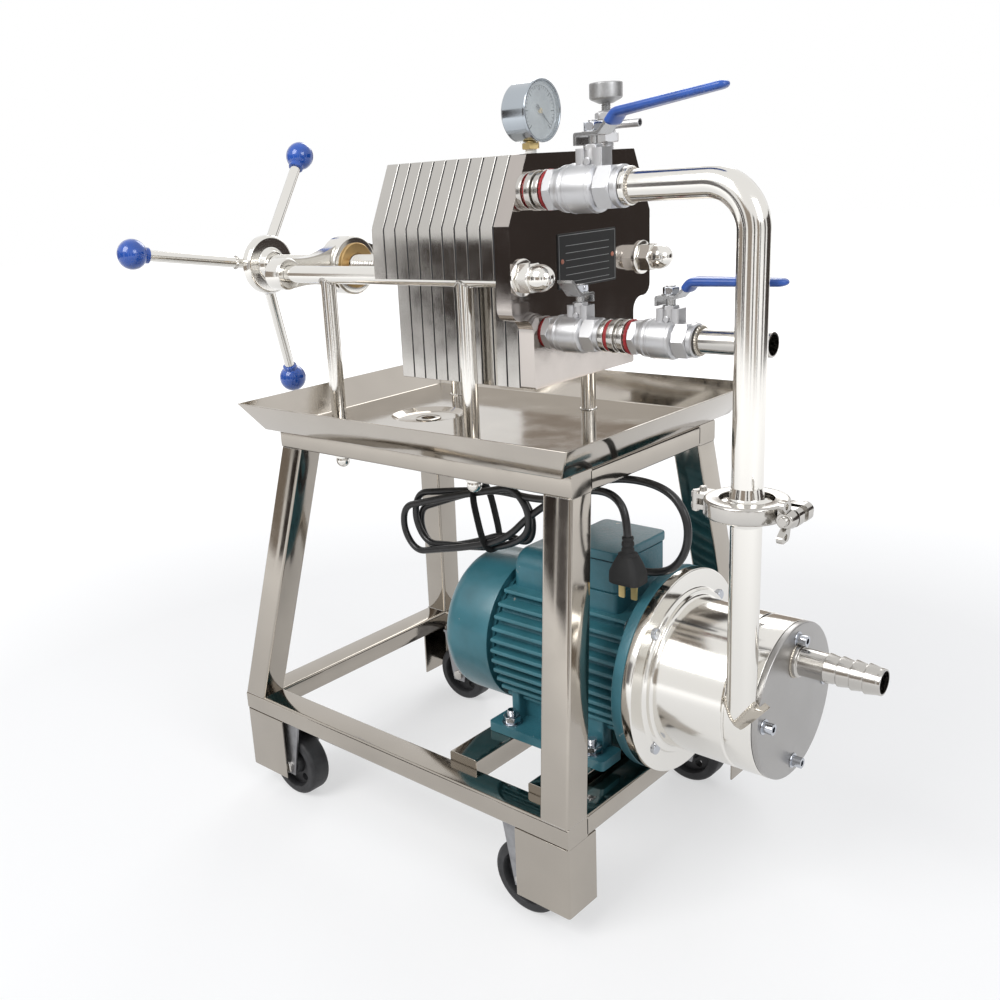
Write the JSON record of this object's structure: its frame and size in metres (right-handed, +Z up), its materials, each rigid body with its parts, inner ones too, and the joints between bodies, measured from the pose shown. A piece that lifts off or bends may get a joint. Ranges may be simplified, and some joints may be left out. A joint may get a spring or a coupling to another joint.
{
  "type": "plate and frame filter press",
  "caption": "Stainless plate filter press on a wheeled cart, with screw handwheel, drip tray, ball valves and motor pump.",
  "frame": {"origin": "bottom centre of the whole machine's bounding box without the cord, on the floor", "axes": "+X along the press axis from the handwheel to the pump, +Y from the valve side to the far side, +Z up"},
  "size_m": [0.8385, 0.35, 0.7627],
  "materials": {
    "polished_steel": "mirror polished stainless steel",
    "ring_steel": "polished stainless tube",
    "plate_steel": "ground and polished stainless plate",
    "cast_steel": "investment cast stainless, matt",
    "teal_paint": "teal machine paint",
    "black_rubber": "hard black rubber tread",
    "fork_zinc": "dull zinc plated steel",
    "bronze": "turned bronze",
    "brass": "turned brass",
    "blue_plastic": "blue moulded plastic",
    "blue_grip": "blue dipped vinyl",
    "black_plate": "black anodised plate",
    "gauge_glass": "clear window",
    "gauge_steel": "plated steel case",
    "cord_black": "black cord jacket",
    "plug_black": "moulded black plug"
  },
  "bodies": {
    "press_frame": {"legs": "ring_steel", "side_rails": "ring_steel", "cross_rails": "ring_steel", "foot_skirts": "ring_steel", "drip_tray": "polished_steel", "caster_forks": "fork_zinc", "posts": "polished_steel", "acorn_nuts": "polished_steel", "guide_rods": "polished_steel", "riser_pipe": "polished_steel", "pipe_clamp": "polished_steel", "pump_casing": "polished_steel", "pump_cover": "polished_steel", "suction_barb": "polished_steel", "fixed_head": "plate_steel", "yoke": "cast_steel", "screw_nut": "bronze", "nameplate": "black_plate", "gauge_case": "gauge_steel", "gauge_glass": "gauge_glass", "gauge_fitting": "brass", "vent_body": "cast_steel", "feed_union": "cast_steel", "drain_line": "polished_steel", "feed_valve": "cast_steel", "inner_valve": "cast_steel", "outer_valve": "cast_steel", "motor_body": "teal_paint", "motor_cowl": "teal_paint", "terminal_box": "teal_paint", "power_cord": "cord_black", "cord_hank": "cord_black", "cord_gland": "plug_black", "cord_plug": "plug_black"},
    "follower": {"movable_head": "plate_steel"},
    "leaf_1": {"plate_1": "plate_steel"},
    "leaf_2": {"plate_2": "plate_steel"},
    "leaf_3": {"plate_3": "plate_steel"},
    "leaf_4": {"plate_4": "plate_steel"},
    "leaf_5": {"plate_5": "plate_steel"},
    "leaf_6": {"plate_6": "plate_steel"},
    "leaf_7": {"plate_7": "plate_steel"},
    "leaf_8": {"plate_8": "plate_steel"},
    "leaf_9": {"plate_9": "plate_steel"},
    "screw": {"press_screw": "polished_steel", "handwheel_balls": "blue_plastic"},
    "feed_handle": {"feed_lever": "cast_steel", "feed_grip": "blue_grip"},
    "inner_handle": {"inner_lever": "cast_steel"},
    "outer_handle": {"outer_lever": "cast_steel", "outer_grip": "blue_grip"},
    "vent_spindle": {"vent_knob": "cast_steel"},
    "wheel_front_left_body": {"wheel_front_left": "black_rubber"},
    "wheel_front_right_body": {"wheel_front_right": "black_rubber"},
    "wheel_rear_right_body": {"wheel_rear_right": "black_rubber"},
    "wheel_rear_left_body": {"wheel_rear_left": "black_rubber"}
  },
  "joints": [
    {"name": "head_slide", "type": "slide", "parent": "press_frame", "child": "follower", "axis": [-1, 0, 0], "range_m": [0, 0.05]},
    {"name": "plate_slide_1", "type": "slide", "parent": "press_frame", "child": "leaf_1", "axis": [-1, 0, 0], "range_m": [0, 0.005]},
    {"name": "plate_slide_2", "type": "slide", "parent": "press_frame", "child": "leaf_2", "axis": [-1, 0, 0], "range_m": [0, 0.01]},
    {"name": "plate_slide_3", "type": "slide", "parent": "press_frame", "child": "leaf_3", "axis": [-1, 0, 0], "range_m": [0, 0.015]},
    {"name": "plate_slide_4", "type": "slide", "parent": "press_frame", "child": "leaf_4", "axis": [-1, 0, 0], "range_m": [0, 0.02]},
    {"name": "plate_slide_5", "type": "slide", "parent": "press_frame", "child": "leaf_5", "axis": [-1, 0, 0], "range_m": [0, 0.025]},
    {"name": "plate_slide_6", "type": "slide", "parent": "press_frame", "child": "leaf_6", "axis": [-1, 0, 0], "range_m": [0, 0.03]},
    {"name": "plate_slide_7", "type": "slide", "parent": "press_frame", "child": "leaf_7", "axis": [-1, 0, 0], "range_m": [0, 0.035]},
    {"name": "plate_slide_8", "type": "slide", "parent": "press_frame", "child": "leaf_8", "axis": [-1, 0, 0], "range_m": [0, 0.04]},
    {"name": "plate_slide_9", "type": "slide", "parent": "press_frame", "child": "leaf_9", "axis": [-1, 0, 0], "range_m": [0, 0.045]},
    {"name": "screw_turn", "type": "hinge", "parent": "follower", "child": "screw", "pos_m": [-0.34075, 0.007, 0.598], "axis": [1, 0, 0], "range_deg": [0, 3600]},
    {"name": "feed_lever_turn", "type": "hinge", "parent": "press_frame", "child": "feed_handle", "pos_m": [0.18525, -0.079, 0.701], "axis": [0, 0, 1], "range_deg": [0, 90]},
    {"name": "inner_lever_turn", "type": "hinge", "parent": "press_frame", "child": "inner_handle", "pos_m": [0.15195, -0.054, 0.5752], "axis": [0, 0, 1], "range_deg": [0, 90]},
    {"name": "outer_lever_turn", "type": "hinge", "parent": "press_frame", "child": "outer_handle", "pos_m": [0.24305, -0.054, 0.5752], "axis": [0, 0, 1], "range_deg": [0, 90]},
    {"name": "vent_turn", "type": "hinge", "parent": "press_frame", "child": "vent_spindle", "pos_m": [0.10675, 0.057, 0.744], "axis": [0, 0, 1], "range_deg": [0, 720]},
    {"name": "front_left_roll", "type": "hinge", "parent": "press_frame", "child": "wheel_front_left_body", "pos_m": [-0.19275, -0.151, 0.0375], "axis": [0, 1, 0], "continuous": true},
    {"name": "front_right_roll", "type": "hinge", "parent": "press_frame", "child": "wheel_front_right_body", "pos_m": [0.15325, -0.151, 0.0375], "axis": [0, 1, 0], "continuous": true},
    {"name": "rear_right_roll", "type": "hinge", "parent": "press_frame", "child": "wheel_rear_right_body", "pos_m": [0.15325, 0.151, 0.0375], "axis": [0, 1, 0], "continuous": true},
    {"name": "rear_left_roll", "type": "hinge", "parent": "press_frame", "child": "wheel_rear_left_body", "pos_m": [-0.19275, 0.151, 0.0375], "axis": [0, 1, 0], "continuous": true}
  ],
  "couplings": [
    {"joint": "head_slide", "follows": "screw_turn", "m_per_rad": 0.00079577},
    {"joint": "plate_slide_1", "follows": "screw_turn", "m_per_rad": 0.000079577},
    {"joint": "plate_slide_2", "follows": "screw_turn", "m_per_rad": 0.00015915},
    {"joint": "plate_slide_3", "follows": "screw_turn", "m_per_rad": 0.00023873},
    {"joint": "plate_slide_4", "follows": "screw_turn", "m_per_rad": 0.00031831},
    {"joint": "plate_slide_5", "follows": "screw_turn", "m_per_rad": 0.00039789},
    {"joint": "plate_slide_6", "follows": "screw_turn", "m_per_rad": 0.00047746},
    {"joint": "plate_slide_7", "follows": "screw_turn", "m_per_rad": 0.00055704},
    {"joint": "plate_slide_8", "follows": "screw_turn", "m_per_rad": 0.00063662},
    {"joint": "plate_slide_9", "follows": "screw_turn", "m_per_rad": 0.0007162}
  ]
}
